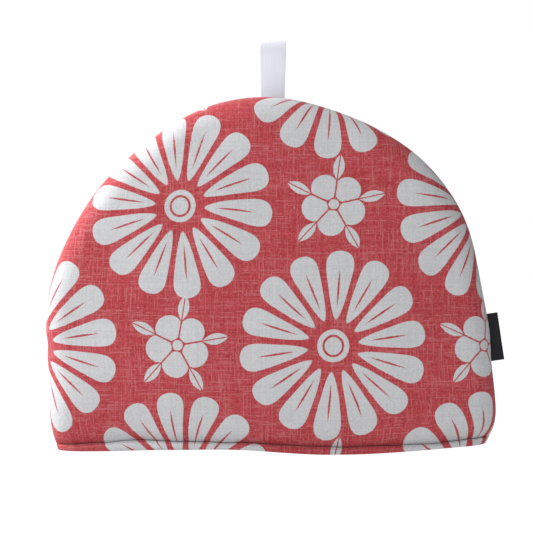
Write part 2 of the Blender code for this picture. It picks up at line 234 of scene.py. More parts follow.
def plain(name, description, default):
    return FloatProperty(name=name, description=description, default=default)


def metres(name, description, default):
    return FloatProperty(name=name, description=description, default=default, unit="LENGTH")


def paint(name, description, default):
    return FloatVectorProperty(name=name, description=description, default=default, subtype="COLOR", size=3)


class CosySizes(bpy.types.PropertyGroup):
    """Sizes of the padded dome."""

    dome_height: metres("Dome height", "From the table to the top seam", 0.282)
    half_width: metres("Half width", "From the middle to the side seam", 0.179)
    leg_height: metres("Upright sides", "Height up to which the sides stand upright", 0.057)
    wall: metres("Wall", "Thickness of cotton, wadding and inner cloth", 0.009)
    crown: metres("Crown", "How far the middle stands forward of the edge", 0.033)


class CosyPrint(bpy.types.PropertyGroup):
    """Colours of the printed cotton and the sizes of its print and weave."""

    coral: paint("Coral", "Ground colour", (0.568, 0.0865, 0.0985))
    coral_deep: paint("Deep coral", "Thin threads of the ground", (0.434, 0.0415, 0.0508))
    coral_slub: paint("Slub", "Thick threads, which take less dye", (0.628, 0.214, 0.230))
    off_white: paint("Off-white", "Print colour", (0.680, 0.684, 0.702))
    off_white_deep: paint("Shaded off-white", "Thin threads of the print", (0.592, 0.597, 0.618))
    inside: paint("Inside", "Plain inner cloth", (0.74, 0.72, 0.68))
    repeat_width: metres("Repeat width", "Width of the print's repeat", 0.244)
    repeat_height: metres("Repeat height", "Height of the print's repeat", 0.222)
    thread: metres("Thread", "From thread to thread", 0.00064)
    petals: IntProperty(name="Petals", description="Petals of each daisy", default=14, min=6, max=30)


class CosyTrims(bpy.types.PropertyGroup):
    """Sizes and colours of the ribbon loop and the side tab."""

    ribbon_width: metres("Ribbon width", "Width of the ribbon", 0.0190)
    ribbon_thickness: metres("Ribbon thickness", "Thickness of the ribbon", 0.0010)
    ribbon_stands: metres("Loop height", "Height of the loop above the dome", 0.0465)
    ribbon_spread: metres("Half spread", "Half the loop's widest opening", 0.0074)
    ribbon_colour: paint("Ribbon", "Colour of the ribbon", (0.85, 0.875, 0.99))
    tab_low: metres("Tab low end", "Height of the tab's low end", 0.0714)
    tab_high: metres("Tab high end", "Height of the tab's high end", 0.1094)
    tab_stands: metres("Tab reach", "How far the tab stands out of the seam", 0.0084)
    tab_thickness: metres("Tab thickness", "Thickness of one layer", 0.0010)
    tab_colour: paint("Tab", "Colour of the woven tab", (0.0075, 0.0070, 0.0090))


class CosyStage(bpy.types.PropertyGroup):
    """Camera, lights and floor."""

    camera_distance: metres("Camera distance", "From the cosy's middle", 1.8)
    camera_azimuth: FloatProperty(
        name="Camera azimuth", description="Turn to the right of straight on", default=radians(2.5),
        subtype="ANGLE",
    )
    camera_height: metres("Camera height", "Height of the lens", 0.1470)
    camera_sidestep: metres("Camera sidestep", "Shift to the camera's right", -0.0076)
    lens: FloatProperty(
        name="Focal length", description="Focal length of the lens", default=151.3, unit="CAMERA"
    )
    front_power: plain("Front light", "Power of the light at the front", 12.0)
    side_power: plain("Side light", "Power of the light at the left", 11.5)
    shoulder_power: plain("Shoulder light", "Power of the high light at the left", 9.5)
    low_power: plain("Low light", "Power of the low light at the left", 8.5)
    horizon: plain("Horizon", "Brightness of the walls all round", 1.0)
    overhead: plain("Overhead", "Brightness of the ceiling", 0.10)
    floor_glow: plain("Floor glow", "Light that the floor gives further off", 0.95)
    # Painted shadow: the floor that gives the light glows less round the cosy's foot
    foot_shadow_glow: plain("Glow at the foot", "Light that the floor gives close by", 0.60)
    floor_colour: paint("Floor", "Colour of the floor", (0.22, 0.22, 0.22))


def smooth_step(value):
    t = np.clip(value, 0.0, 1.0)
    return t * t * (3.0 - 2.0 * t)


def bell(value):
    return np.exp(-0.5 * value * value)


def quarter_round(share):
    """1 at share 0 and below, falling to 0 at share 1 as a quarter of an ellipse does."""
    left = 1.0 - np.clip(share, 0.0, 1.0)
    return 1.0 - np.sqrt(1.0 - left * left)


def smooth_through(rows, x):
    """A level curve through the rows' points, smooth from each to the next."""
    table = np.array(rows)
    place = np.interp(x, table[:, 0], np.arange(len(table)))
    low = np.clip(np.floor(place).astype(int), 0, len(table) - 2)
    return table[low, 1] + (table[low + 1, 1] - table[low, 1]) * smooth_step(place - low)


class Dome:
    """The cosy's outline and the padded form inside it, worked out once from the sizes."""

    def __init__(self, sizes, trims):
        self.height = sizes.dome_height
        self.half_width = sizes.half_width
        self.leg = sizes.leg_height
        self.wall = sizes.wall
        self.crown = sizes.crown
        self.ribbon_pocket = trims.ribbon_width / 2 + RIBBON_CENTRE_X + RIBBON_CLEAR
        self.ribbon_room = trims.ribbon_thickness + LAYER_GAP / 2 + PIECE_GAP
        self.tab_pocket = (trims.tab_high - trims.tab_low) / 2 + TAB_CLEAR
        self.tab_middle = (trims.tab_high + trims.tab_low) / 2
        self.tab_room = trims.tab_thickness + LAYER_GAP / 2 + PIECE_GAP
        self.points, self.normals = self.draw_outline()
        steps = np.linalg.norm(np.diff(self.points, axis=0), axis=1)
        self.runs = np.concatenate([[0.0], np.cumsum(steps)])
        self.roll_start = -acos(1.0 - SEAM_SET_IN / EDGE_REACH)
        self.roll_angles = np.linspace(self.roll_start, pi / 2, ROLL_SAMPLES)
        inwards = EDGE_REACH * (1.0 - np.cos(self.roll_angles))
        forwards = EDGE_DEPTH * np.sin(self.roll_angles)
        steps = np.hypot(np.diff(inwards), np.diff(forwards))
        self.roll_run = np.concatenate([[0.0], np.cumsum(steps)])
        self.roll_length = float(self.roll_run[-1])
        self.edge_centre = SEAM_GAP - EDGE_DEPTH * sin(self.roll_start)
        self.face = self.edge_centre + EDGE_DEPTH

    def draw_outline(self):
        """Points of the plain dome from the right foot over to the left foot, and inward normals."""
        angle = np.linspace(0.0, pi / 2, OUTLINE_SAMPLES)
        arch_x = self.half_width * np.cos(angle) ** (2.0 / WIDTH_POWER)
        arch_z = self.leg + (self.height - self.leg) * np.sin(angle) ** (2.0 / HEIGHT_POWER)
        arch_x[-1] = 0.0
        leg_z = np.linspace(-BELOW_FOOT, self.leg, OUTLINE_SAMPLES // 3)[:-1]
        right_x = np.concatenate([np.full(len(leg_z), self.half_width), arch_x])
        right_z = np.concatenate([leg_z, arch_z])
        x = np.concatenate([right_x, -right_x[-2::-1]])
        z = np.concatenate([right_z, right_z[-2::-1]])
        along_x = np.gradient(x)
        along_z = np.gradient(z)
        length = np.hypot(along_x, along_z)
        return np.stack([x, z], 1), np.stack([-along_z / length, along_x / length], 1)

    def at(self, run):
        """Outline points and inward normals at these runs along the outline."""
        place = np.stack([np.interp(run, self.runs, self.points[:, i]) for i in (0, 1)], 1)
        normal = np.stack([np.interp(run, self.runs, self.normals[:, i]) for i in (0, 1)], 1)
        return place, normal / np.linalg.norm(normal, axis=1, keepdims=True)

    def inside(self, x, z):
        """1 in the middle of the plain dome, 0 on its outline and less outside it."""
        above = np.clip((z - self.leg) / (self.height - self.leg), 0.0, None)
        return 1.0 - np.abs(x / self.half_width) ** WIDTH_POWER - above**HEIGHT_POWER

    def crown_at(self, x, z):
        """How far the panel's middle stands forward of the rounded edge."""
        inside = np.clip(self.inside(x, z), 0.0, 1.0)
        return self.crown * inside * (1.0 - CROWN_LOST_WITH_HEIGHT * z / self.height)

    def seam_opening(self, x, z):
        """From the middle plane to the seam face, wider where the ribbon or the tab is caught."""
        ribbon = 1.0 - smooth_step((np.abs(x) - self.ribbon_pocket) / POCKET_FADE)
        tab = 1.0 - smooth_step((np.abs(z - self.tab_middle) - self.tab_pocket) / POCKET_FADE)
        tab = tab * (x > 0)
        return SEAM_GAP + ribbon * (self.ribbon_room - SEAM_GAP) + tab * (self.tab_room - SEAM_GAP)

    def push(self, x, z):
        """Shift in x and in z that gives the plain dome its uneven outline."""
        rise = z - self.leg
        radius = np.hypot(x, rise)
        degrees = np.degrees(np.arctan2(rise, x))
        degrees = np.where(degrees < -90.0, degrees + 360.0, degrees)
        push = np.zeros_like(x)
        for at, spread, amount in OUTLINE_PUSHES:
            push = push + amount * bell((degrees - at) / spread)
        push = push * np.clip(radius / self.half_width, 0.0, 1.0) ** 2 / np.maximum(radius, TINY)
        below = np.clip(1.0 - z / FOOT_DRAWN_BELOW, 0.0, 1.0)
        drawn = FOOT_DRAWN_IN * below * below * x / self.half_width
        return push * x - drawn, push * np.clip(rise, 0.0, None)


class PanelPlan:
    """Where each point of a panel lies on the flat cut, what shapes it in space, and the flat triangles."""

    def __init__(self, dome, side):
        self.dome = dome
        self.side = side
        self.parts = {name: [] for name in ("flat", "place", "inward", "share", "hem", "run", "from_seam")}
        self.lay_rounded_edge()
        self.lay_hem_rows()
        self.lay_open_face()
        for name, pieces in self.parts.items():
            setattr(self, name, np.concatenate(pieces))
        self.triangles = self.join_flat()

    def add(self, **values):
        for name, value in values.items():
            self.parts[name].append(np.asarray(value, float))

    def line_shift(self, x, nominal):
        """How far a row of the hem is moved up so that the sunken line keeps its own height."""
        above = np.clip((HEM_TOP - nominal) / (HEM_TOP - HEM_LINE), 0.0, 1.0)
        below = np.clip(nominal / HEM_LINE, 0.0, 1.0)
        return (smooth_through(self.side.hem_line, x) - HEM_LINE) * np.minimum(above, below)

    def lay_rounded_edge(self):
        dome = self.dome
        whole = dome.runs[-1]
        heights = np.array(HEM_HEIGHTS)
        count = round((whole - 2 * (BELOW_FOOT + HEM_TOP)) / COLUMN_SPACING)
        between = np.linspace(BELOW_FOOT + HEM_TOP, whole - BELOW_FOOT - HEM_TOP, count + 1)[1:-1]
        right = BELOW_FOOT + heights + self.line_shift(dome.half_width, heights)
        left = whole - BELOW_FOOT - heights - self.line_shift(-dome.half_width, heights)
        runs = np.concatenate([right, between, left[::-1]])
        hem = np.concatenate([heights, np.full(len(between), HEM_TOP), heights[::-1]])
        foot, normal = dome.at(runs)
        cloth_run = np.linspace(0.0, dome.roll_length, ROLL_STEPS + 1)
        angles = np.interp(cloth_run, dome.roll_run, dome.roll_angles)
        for step in range(ROLL_STEPS + 1):
            on_face = step == ROLL_STEPS
            share = (angles[step] - dome.roll_start) / (pi / 2 - dome.roll_start)
            self.add(
                flat=foot + normal * (cloth_run[step] - dome.roll_length + EDGE_REACH),
                place=foot + normal * EDGE_REACH if on_face else foot, inward=normal, hem=hem, run=runs,
                share=np.full(len(runs), share), from_seam=np.full(len(runs), cloth_run[step]),
            )

    def lay_hem_rows(self):
        reach = self.dome.half_width - EDGE_REACH
        across = np.linspace(-reach, reach, round(2 * reach / LATTICE_SPACING) + 1)[1:-1]
        for height in HEM_HEIGHTS:
            level = height + self.line_shift(across, np.full(len(across), height))
            self.add_face_points(np.stack([across, level], 1), np.full(len(across), height))

    def lay_open_face(self):
        row_height = LATTICE_SPACING * sqrt(3) / 2
        reach = ceil(self.dome.half_width / LATTICE_SPACING)
        columns = np.arange(-reach, reach + 1) * LATTICE_SPACING
        rows = []
        for row in range(1, int(self.dome.height / row_height)):
            x = columns + LATTICE_SPACING / 2 * (row % 2)
            rows.append(np.stack([x, np.full(len(x), HEM_TOP + row * row_height)], 1))
        points = np.concatenate(rows)
        points = points[self.dome.inside(*points.T) > 0.0]
        _, distance = self.nearest_outline(points)
        points = points[distance > EDGE_REACH + LATTICE_CLEAR]
        self.add_face_points(points, np.full(len(points), HEM_TOP))

    def add_face_points(self, points, hem):
        run, distance = self.nearest_outline(points)
        from_seam = distance - EDGE_REACH + self.dome.roll_length
        count = len(points)
        self.add(
            flat=points, place=points, inward=np.zeros((count, 2)), share=np.ones(count), hem=hem, run=run,
            from_seam=from_seam,
        )

    def nearest_outline(self, points):
        """Run along the outline of the nearest point on it, and the distance to that point."""
        tree = KDTree(len(self.dome.points))
        for index, (x, z) in enumerate(self.dome.points):
            tree.insert((x, z, 0.0), index)
        tree.balance()
        found = [tree.find((x, z, 0.0)) for x, z in points]
        return self.dome.runs[[index for _, index, _ in found]], np.array([gap for _, _, gap in found])

    def join_flat(self):
        corners = [Vector(point) for point in self.flat]
        _, _, triangles, source, _, _ = delaunay_2d_cdt(corners, [], [], 0, TINY / 10)
        order = np.array([ids[0] for ids in source])
        triangles = order[np.array(triangles)]
        a, b, c = (self.flat[triangles[:, i]] for i in range(3))
        area = ((b - a)[:, 0] * (c - a)[:, 1] - (c - a)[:, 0] * (b - a)[:, 1]) / 2
        return triangles[np.abs(area) > SLIVER]


def random_bells(rng, count, span, widths):
    """A row of soft bumps and hollows at random places over the span, as a function of the place."""
    at = rng.uniform(0.0, span, count)
    width = rng.uniform(*widths, count)
    size = rng.uniform(-1.0, 1.0, count)

    def height(value):
        total = np.zeros_like(value)
        for place, spread, amount in zip(at, width, size):
            total = total + amount * bell((value - place) / spread)
        return total

    return height


def fine_relief(plan, x, z):
    """How far the padding and the sewing push the outer cloth out, point by point."""
    rng = np.random.default_rng(plan.side.seed)
    relief = np.zeros_like(x)
    for _ in range(SWELL_WAVES):
        turn, shift = rng.uniform(0.0, tau, 2)
        length = rng.uniform(*SWELL_LENGTHS)
        along = x * cos(turn) + z * sin(turn)
        relief = relief + SWELL_HEIGHT * np.cos(tau * along / length + shift)
    relief = relief * smooth_step(plan.from_seam / plan.dome.roll_length)
    puckers = random_bells(rng, PUCKERS, plan.dome.runs[-1], PUCKER_WIDTHS)
    set_in = smooth_step(plan.from_seam / RELIEF_FADE)
    near_seam = np.exp(-plan.from_seam / PUCKER_REACH) * set_in
    relief = relief + PUCKER_HEIGHT * puckers(plan.run) * near_seam
    tucks = random_bells(rng, TUCKS, 2 * plan.dome.half_width, TUCK_WIDTHS)
    near_line = bell((plan.hem - HEM_LINE) / TUCK_REACH) * (plan.hem < HEM_TOP)
    near_line = near_line * smooth_step(plan.hem / TUCK_FADE) * set_in
    return relief + TUCK_HEIGHT * tucks(x + plan.dome.half_width) * near_line


def outer_set_back(hem):
    """How far the outer cloth lies behind the panel's full face at each height of the hem."""
    strip = STRIP_SET_BACK + STRIP_LEAN * hem / HEM_LINE + FOOT_ROUND * quarter_round(hem / FOOT_ROUND)
    to_line = LINE_DEPTH - STRIP_SET_BACK - STRIP_LEAN
    strip = strip + to_line * quarter_round((HEM_LINE - hem) / STRIP_SHOULDER)
    panel = LINE_DEPTH * quarter_round((hem - HEM_LINE) / PANEL_SHOULDER)
    return np.where(hem < HEM_LINE, strip, panel)


def inner_set_back(hem, wall):
    """The same for the inner cloth."""
    foot = INNER_FOOT_ROUND * quarter_round(hem / FOOT_ROUND)
    return wall - foot - INNER_LINE_DEPTH * bell((hem - HEM_LINE) / INNER_LINE_REACH)


def shape_face(plan, inner):
    """Points in space of the outer or the inner face of a panel."""
    dome, side = plan.dome, plan.side
    behind = inner_set_back(plan.hem, dome.wall) if inner else outer_set_back(plan.hem)
    gap = dome.seam_opening(plan.place[:, 0], plan.place[:, 1])
    if inner:
        angle = plan.share * pi / 2
        set_in = EDGE_REACH - (EDGE_REACH - INNER_SEAM_SET_IN) * np.cos(angle)
        depth = SEAM_GAP + (dome.face - behind - SEAM_GAP) * np.sin(angle)
    else:
        angle = dome.roll_start + plan.share * (pi / 2 - dome.roll_start)
        kept = KEPT_AT_SEAM + (1.0 - KEPT_AT_SEAM) * smooth_step(angle / (pi / 2))
        set_in = EDGE_REACH - (EDGE_REACH - behind * kept) * np.cos(angle)
        front = dome.edge_centre + (EDGE_DEPTH - behind) * np.sin(angle)
        under = dome.edge_centre + (dome.edge_centre - gap) * np.sin(angle) / -sin(dome.roll_start)
        depth = np.where(angle >= 0, front, under)
    on_roll = plan.share < 1.0
    x, z = (plan.place[:, i] + np.where(on_roll, plan.inward[:, i] * set_in, 0.0) for i in (0, 1))
    dents = np.zeros_like(x)
    for at_x, at_z, reach_x, reach_z, sunk in side.dents:
        dents = dents + sunk * bell((x - at_x) / reach_x) * bell((z - at_z) / reach_z)
    depth = depth + smooth_step(plan.share) * (dome.crown_at(x, z) - dents)
    if not inner:
        depth = depth + fine_relief(plan, x, z)
    push_x, push_z = dome.push(x, z)
    x = x + push_x
    z = z + push_z
    lift = np.zeros_like(x)
    for at, reach, amount in side.lifts:
        lift = lift + amount * smooth_step(1.0 - np.abs(x - at) / reach)
    z = z + lift * (1.0 - smooth_step(z / dome.leg))
    return np.stack([x + DOME_CENTRE_X, depth * side.towards, z], 1)


def border_of(triangles):
    """The edges that only one triangle has, as that triangle runs them."""
    edges = {(t[i], t[(i + 1) % 3]) for t in triangles.tolist() for i in range(3)}
    return sorted(edge for edge in edges if (edge[1], edge[0]) not in edges)


def mesh_object(name, points, faces, plan_points, materials, face_materials=None):
    """A smooth mesh whose UV map holds each point's place on the flat cloth."""
    mesh = bpy.data.meshes.new(name)
    mesh.from_pydata(points.tolist(), [], faces)
    for material in materials:
        mesh.materials.append(material)
    if face_materials is not None:
        mesh.polygons.foreach_set("material_index", face_materials)
    corners = np.empty(len(mesh.loops), np.int32)
    mesh.loops.foreach_get("vertex_index", corners)
    plan_map = mesh.uv_layers.new(name=PLAN)
    plan_map.data.foreach_set("uv", np.asarray(plan_points, np.float32)[corners].ravel())
    mesh.validate()
    mesh.update()
    mesh.shade_smooth()
    mesh.set_sharp_from_angle(angle=SHARP_EDGE)
    obj = bpy.data.objects.new(name, mesh)
    bpy.context.scene.collection.objects.link(obj)
    return obj


def make_panel(dome, side, materials):
    """One padded panel: printed outer face, plain inner face, seam face and foot under the hem."""
    plan = PanelPlan(dome, side)
    outer = shape_face(plan, inner=False)
    inner = shape_face(plan, inner=True)
    count = len(outer)
    triangles = plan.triangles
    if side.towards > 0:
        triangles = triangles[:, ::-1]
    faces = triangles.tolist() + (triangles[:, ::-1] + count).tolist()
    rim = [(b, a, a + count, b + count) for a, b in border_of(triangles)]
    kinds = [0] * len(triangles) + [1] * len(triangles) + [0] * len(rim)
    printed_at = plan.flat * (-side.towards, 1.0) + side.cut_from
    plan_points = np.concatenate([printed_at, printed_at])
    points = np.concatenate([outer, inner])
    panel = mesh_object(side.name, points, faces + rim, plan_points, materials, kinds)
    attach(panel, BODY)
    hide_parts(side.node)


def band(name, line, half_widths, thickness, across, steps, material, cup=0.0):
    """A strip of even thickness along a flat middle line, with its width along the direction across."""
    line = np.asarray(line, float)
    across = np.asarray(across, float)
    ahead = np.concatenate([line[1:], line[-1:]])
    behind = np.concatenate([line[:1], line[:-1]])
    out = np.cross(ahead - behind, across)
    out = out / np.linalg.norm(out, axis=1, keepdims=True)
    length = np.concatenate([[0.0], np.cumsum(np.linalg.norm(np.diff(line, axis=0), axis=1))])
    share = np.linspace(-1.0, 1.0, steps + 1)
    ring = np.concatenate([share, share[::-1]])
    layer = np.repeat([0.5, -0.5], steps + 1) * thickness
    sideways = np.outer(half_widths, ring)
    offset = layer[None, :] - cup * ring[None, :] ** 2
    points = line[:, None, :] + sideways[:, :, None] * across + offset[:, :, None] * out[:, None, :]
    plan_points = np.stack([sideways, np.repeat(length[:, None], len(ring), 1)], 2)
    count = len(ring)
    first = np.arange(len(line) - 1)[:, None] * count
    k = np.arange(count)[None, :]
    after = (k + 1) % count
    quads = np.stack([first + k, first + after, first + count + after, first + count + k], 2).reshape(-1, 4)
    last = (len(line) - 1) * count
    faces = [*quads.tolist(), list(range(count))[::-1], list(range(last, last + count))]
    return mesh_object(name, points.reshape(-1, 3), faces, plan_points.reshape(-1, 2), [material])


def length_of(line):
    return float(np.linalg.norm(np.diff(np.array(line), axis=0), axis=1).sum())


def ribbon_line(dome, trims):
    """The loop's middle line in the upright plane, up one leg, over the top and down the other."""
    layer = (trims.ribbon_thickness + LAYER_GAP) / 2
    top = dome.height + trims.ribbon_stands - trims.ribbon_thickness / 2
    leg_top = dome.height + RIBBON_LEGS_STAND
    leg = [(layer, dome.height - TUCKED_IN), (layer, dome.height - TUCKED_IN / 2)]
    radius = trims.ribbon_spread
    centre = top - radius
    splay = 0.0
    for _ in range(SPLAY_ROUNDS):
        across = radius * cos(splay) - layer
        up = centre - radius * sin(splay) - leg_top
        splay = atan(LEG_CURVE * across / up)
    for share in np.linspace(0.0, 1.0, RIBBON_LEG_STEPS, endpoint=False):
        leg.append((layer + across * share**LEG_CURVE, leg_top + up * share))
    for angle in np.linspace(-splay, pi / 2, RIBBON_TOP_STEPS, endpoint=False):
        leg.append((radius * cos(angle), centre + radius * sin(angle)))
    other_leg = [(-y, z) for y, z in reversed(leg)]
    upright = [*leg, (0.0, top), *other_leg]
    below = [min(1.0, (top - z) / (top - leg_top)) for _, z in upright]
    return [(y + RIBBON_LEAN * (1.0 - left * left), z) for (y, z), left in zip(upright, below)]


def tab_line(dome, trims):
    """The tab's middle line from the seam out to its fold and back, and the direction of its width."""
    layer = (trims.tab_thickness + LAYER_GAP) / 2
    push_x, _ = dome.push(np.array([dome.half_width]), np.array([dome.tab_middle]))
    outwards = np.array([cos(TAB_TILT), 0.0, sin(TAB_TILT)])
    along = np.array([-sin(TAB_TILT), 0.0, cos(TAB_TILT)])
    root = np.array([DOME_CENTRE_X + dome.half_width + float(push_x[0]), 0.0, dome.tab_middle])
    reach = trims.tab_stands - trims.tab_thickness / 2 - layer
    straight = np.linspace(-TUCKED_IN, reach, TAB_STRAIGHT_STEPS)
    near = [root + outwards * out + (0.0, -layer, 0.0) for out in straight]
    fold = []
    for step in range(1, TAB_FOLD_STEPS):
        angle = pi * step / TAB_FOLD_STEPS
        out = reach + layer * sin(angle)
        fold.append(root + outwards * out + (0.0, -layer * cos(angle), 0.0))
    far = [point * (1.0, -1.0, 1.0) for point in reversed(near)]
    return [*near, *fold, *far], along


class Wire:
    """A number in a shader, so that sums of such numbers read as plain arithmetic."""

    def __init__(self, graph, socket):
        self.graph = graph
        self.socket = socket

    def __add__(self, other):
        return self.graph.math("ADD", self, other)

    __radd__ = __add__

    def __mul__(self, other):
        return self.graph.math("MULTIPLY", self, other)

    __rmul__ = __mul__

    def __sub__(self, other):
        return self.graph.math("SUBTRACT", self, other)

    def __rsub__(self, other):
        return self.graph.math("SUBTRACT", other, self)

    def __truediv__(self, other):
        return self.graph.math("DIVIDE", self, other)


class Graph:
    """The shader nodes of a material or of the world, added and linked by short calls."""

    def __init__(self, owner, shader):
        self.owner = owner
        owner.use_nodes = True
        self.tree = owner.node_tree
        self.shader = self.tree.nodes[shader]

    def feed(self, socket, value):
        if isinstance(value, Wire):
            self.tree.links.new(value.socket, socket)
        elif socket.type == "RGBA":
            socket.default_value = (*value, 1.0)
        else:
            socket.default_value = value

    def node(self, kind, output, inputs, **settings):
        node = self.tree.nodes.new(kind)
        for name, value in settings.items():
            setattr(node, name, value)
        for name, value in inputs.items():
            self.feed(node.inputs[name], value)
        return Wire(self, node.outputs[output])

    def math(self, operation, *values):
        return self.node("ShaderNodeMath", 0, dict(enumerate(values)), operation=operation)

    def size_of(self, value):
        return self.math("ABSOLUTE", value)

    def larger(self, first, second):
        return self.math("MAXIMUM", first, second)

    def ribs(self, value):
        """Round ribs of height 1, with a groove at each whole multiple of pi."""
        return self.size_of(self.math("SINE", value))

    def surface(self, inputs):
        """Feeds the shader's own inputs."""
        for name, value in inputs.items():
            self.feed(self.shader.inputs[name], value)

    def flat_place(self):
        """Place on the flat cloth, in metres."""
        plan_map = self.node("ShaderNodeUVMap", 0, {}, uv_map=PLAN)
        return (self.node("ShaderNodeSeparateXYZ", axis, {"Vector": plan_map}) for axis in "XY")

    def noise(self, x, y, detail=0.0):
        place = self.node("ShaderNodeCombineXYZ", 0, {"X": x, "Y": y})
        inputs = {"Vector": place, "Scale": 1.0, "Detail": detail}
        return self.node("ShaderNodeTexNoise", 0, inputs, noise_dimensions="2D")

    def step(self, value, low, high):
        """0 below low, 1 above high, smooth between."""
        inputs = {"Value": value, "From Min": low, "From Max": high}
        return self.node("ShaderNodeMapRange", 0, inputs, interpolation_type="SMOOTHSTEP")

    def mix(self, share, first, second):
        node = self.tree.nodes.new("ShaderNodeMix")
        node.data_type = "RGBA"
        self.feed(node.inputs["Factor"], share)
        self.feed(node.inputs[6], first)
        self.feed(node.inputs[7], second)
        return Wire(self, node.outputs[2])

    def bump(self, height, distance, strength):
        inputs = {"Height": height, "Distance": distance, "Strength": strength}
        self.feed(self.shader.inputs["Normal"], self.node("ShaderNodeBump", 0, inputs))


def material_graph(name):
    return Graph(bpy.data.materials.new(name), "Principled BSDF")


def toned(colour, share):
    """The colour made darker or, with a share above 1, lighter."""
    return tuple(min(1.0, part * share) for part in colour)


def wrapped(graph, value, period):
    """The value's distance from the nearest whole number of periods."""
    return value - graph.math("ROUND", value / period) * period


def polar(graph, x, y, turn):
    radius = graph.math("SQRT", x * x + y * y)
    return radius, graph.math("ARCTAN2", y, x) + turn


def inked(graph, inside):
    return graph.step(inside, -INK_EDGE, INK_EDGE)


def daisy(graph, x, y, petals, turn):
    """1 inside a large daisy of long round petals about a plain eye."""
    petal_in, petal_out = 0.0205, 0.0740
    narrow, broad = 0.0030, 0.0136
    middle, half = (petal_in + petal_out) / 2, (petal_out - petal_in) / 2
    radius, angle = polar(graph, x, y, turn)
    angle = wrapped(graph, angle, tau / petals)
    along = radius * graph.math("COSINE", angle)
    aside = graph.size_of(radius * graph.math("SINE", angle))
    width = narrow + (broad - narrow) * ((along - petal_in) * (1 / (petal_out - petal_in)))
    width = graph.larger(width, narrow / 2)
    reach = (along - middle) * (1 / half)
    spread = aside / width
    inside = (1.0 - reach * reach * reach * reach - spread * spread) * width * 0.5
    petal = inked(graph, inside)
    rib_in, rib_out, rib_width = 0.0300, 0.0600, 0.0008
    up_rib = (along - rib_in) * (1 / (rib_out - rib_in))
    rib = inked(graph, up_rib * (1.0 - up_rib) * (4.0 * rib_width) - aside)
    eye_out, ring_in, ring_out = 0.0128, 0.0070, 0.0086
    eye = inked(graph, eye_out - radius)
    eye_ring = graph.step(radius, ring_in - INK_EDGE, ring_in)
    eye_ring = eye_ring * graph.step(radius, ring_out + INK_EDGE, ring_out)
    return graph.larger(petal * (1.0 - rib), eye * (1.0 - eye_ring))


def blossom(graph, x, y, turn):
    """1 inside a small blossom of five round petals with a leaf between each two."""
    fifth = tau / 5
    radius, angle = polar(graph, x, y, turn)
    petal_angle = wrapped(graph, angle, fifth)
    petal_at, petal_half, petal_width, petal_gap = 0.0152, 0.0102, 0.0106, 0.0007
    along = radius * graph.math("COSINE", petal_angle)
    out = (along - petal_at) * (1 / petal_half)
    aside = graph.size_of(radius * graph.math("SINE", petal_angle))
    across = aside * (1 / petal_width)
    petal = (1.0 - out * out - across * across) * (petal_width / 2)
    parted = (along * tan(fifth / 2) - aside) * cos(fifth / 2) - petal_gap
    petal = inked(graph, graph.math("MINIMUM", petal, parted))
    leaf_angle = wrapped(graph, angle + fifth / 2, fifth)
    leaf_at, leaf_half, leaf_width = 0.0300, 0.0105, 0.0044
    out = (radius * graph.math("COSINE", leaf_angle) - leaf_at) * (1 / leaf_half)
    aside = graph.size_of(radius * graph.math("SINE", leaf_angle))
    leaf = inked(graph, (1.0 - out * out) * leaf_width - aside)
    vein_in, vein_out, eye_out = 0.00035, 0.00060, 0.0040
    leaf = leaf * graph.step(aside, vein_in, vein_out)
    eye = inked(graph, eye_out - radius)
    return graph.larger(graph.larger(petal, leaf), eye)


def print_mask(graph, look, x, y):
    """1 where the cloth is printed off-white."""
    first_x, first_y = -0.070, 0.196
    mask = None
    for half, turn in ((0.0, 0.12), (0.5, 0.30)):
        from_x = wrapped(graph, x - (first_x + half * look.repeat_width), look.repeat_width)
        from_y = wrapped(graph, y - (first_y + half * look.repeat_height), look.repeat_height)
        flower = daisy(graph, from_x, from_y, look.petals, turn)
        mask = flower if mask is None else graph.larger(mask, flower)
    row = graph.math("ROUND", (y - first_y) / (look.repeat_height / 2))
    between_x = x - (first_x + look.repeat_width / 2) - row * (look.repeat_width / 2)
    between_y = y - first_y - row * (look.repeat_height / 2)
    small = blossom(graph, wrapped(graph, between_x, look.repeat_width), between_y, 0.45)
    return graph.larger(mask, small)


def uneven_thread(graph, number, along, seed):
    """Tone of a thread, which varies from thread to thread and along it, and where it is thick and pale."""
    tone = sum(
        graph.noise(number * change + seed, along * pace) * share for change, pace, share in THREAD_TONES
    )
    thick, broken = (
        graph.step(graph.noise(number * change + seed, along * pace), starts, full)
        for change, pace, starts, full in SLUB_PATCHES
    )
    return tone, thick * broken


